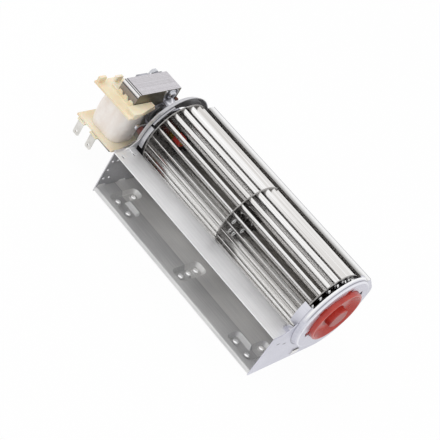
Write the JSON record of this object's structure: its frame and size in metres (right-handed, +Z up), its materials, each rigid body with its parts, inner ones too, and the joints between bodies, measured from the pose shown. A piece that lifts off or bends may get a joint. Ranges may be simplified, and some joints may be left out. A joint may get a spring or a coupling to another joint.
{
  "type": "oven cooling fan",
  "caption": "Tangential blower: a long bladed impeller turns between dished end plates in a sheet-steel scroll with a flat outlet, driven by a shaded-pole motor on one end.",
  "frame": {"origin": "centre of the base hole pattern, on the underside of the sunk mounting pads, which is the plane that the fan rests on", "axes": "+X along the impeller from the motor towards the free bearing, -Y out of the outlet, +Z up from the base"},
  "size_m": [0.2484, 0.1064, 0.0847],
  "materials": {
    "galvanised_sheet": "satin zinc coat",
    "impeller_sheet": "bright rolled",
    "red_silicone": "matte",
    "sintered_bronze": "matte sintered",
    "brass": "turned",
    "shaft_steel": "ground",
    "lamination_steel": "stamped stack",
    "cage_aluminium": "cast",
    "copper_ring": "drawn wire",
    "cream_nylon": "moulded",
    "taped_winding": "varnished tape",
    "tinned_brass": "tin plated",
    "plated_bracket": "zinc plated",
    "plated_fastener": "zinc plated"
  },
  "bodies": {
    "housing": {"scroll_sheet": "galvanised_sheet", "tongue_sheet": "galvanised_sheet", "end_plate_motor": "galvanised_sheet", "end_plate_bearing": "galvanised_sheet", "bearing_holder": "red_silicone", "bearing_bush": "sintered_bronze", "stator_stack": "lamination_steel", "coil_core": "lamination_steel", "shading_ring_upper": "copper_ring", "shading_ring_lower": "copper_ring", "bobbin": "cream_nylon", "coil_winding": "taped_winding", "terminal_1": "tinned_brass", "terminal_2": "tinned_brass", "front_bridge": "plated_bracket", "rear_bridge": "plated_bracket", "front_bearing": "sintered_bronze", "rear_bearing": "sintered_bronze", "motor_screws": "plated_fastener", "motor_nuts": "plated_fastener", "mount_screws": "plated_fastener", "motor_mount_1": "red_silicone", "motor_mount_2": "red_silicone", "motor_mount_3": "red_silicone"},
    "rotor": {"disc_motor_end": "impeller_sheet", "disc_middle": "impeller_sheet", "disc_bearing_end": "impeller_sheet", "blade_01": "impeller_sheet", "blade_02": "impeller_sheet", "blade_03": "impeller_sheet", "blade_04": "impeller_sheet", "blade_05": "impeller_sheet", "blade_06": "impeller_sheet", "blade_07": "impeller_sheet", "blade_08": "impeller_sheet", "blade_09": "impeller_sheet", "blade_10": "impeller_sheet", "blade_11": "impeller_sheet", "blade_12": "impeller_sheet", "blade_13": "impeller_sheet", "blade_14": "impeller_sheet", "blade_15": "impeller_sheet", "blade_16": "impeller_sheet", "blade_17": "impeller_sheet", "blade_18": "impeller_sheet", "blade_19": "impeller_sheet", "blade_20": "impeller_sheet", "blade_21": "impeller_sheet", "blade_22": "impeller_sheet", "motor_shaft": "shaft_steel", "drive_hub": "brass", "drive_bush": "red_silicone", "stub_shaft": "shaft_steel", "rotor_core": "lamination_steel", "rotor_cage": "cage_aluminium"}
  },
  "joints": [
    {"name": "rotor_spin", "type": "hinge", "parent": "housing", "child": "rotor", "pos_m": [-0.00115, 0.03425, 0.0519], "axis": [1, 0, 0], "continuous": true}
  ]
}
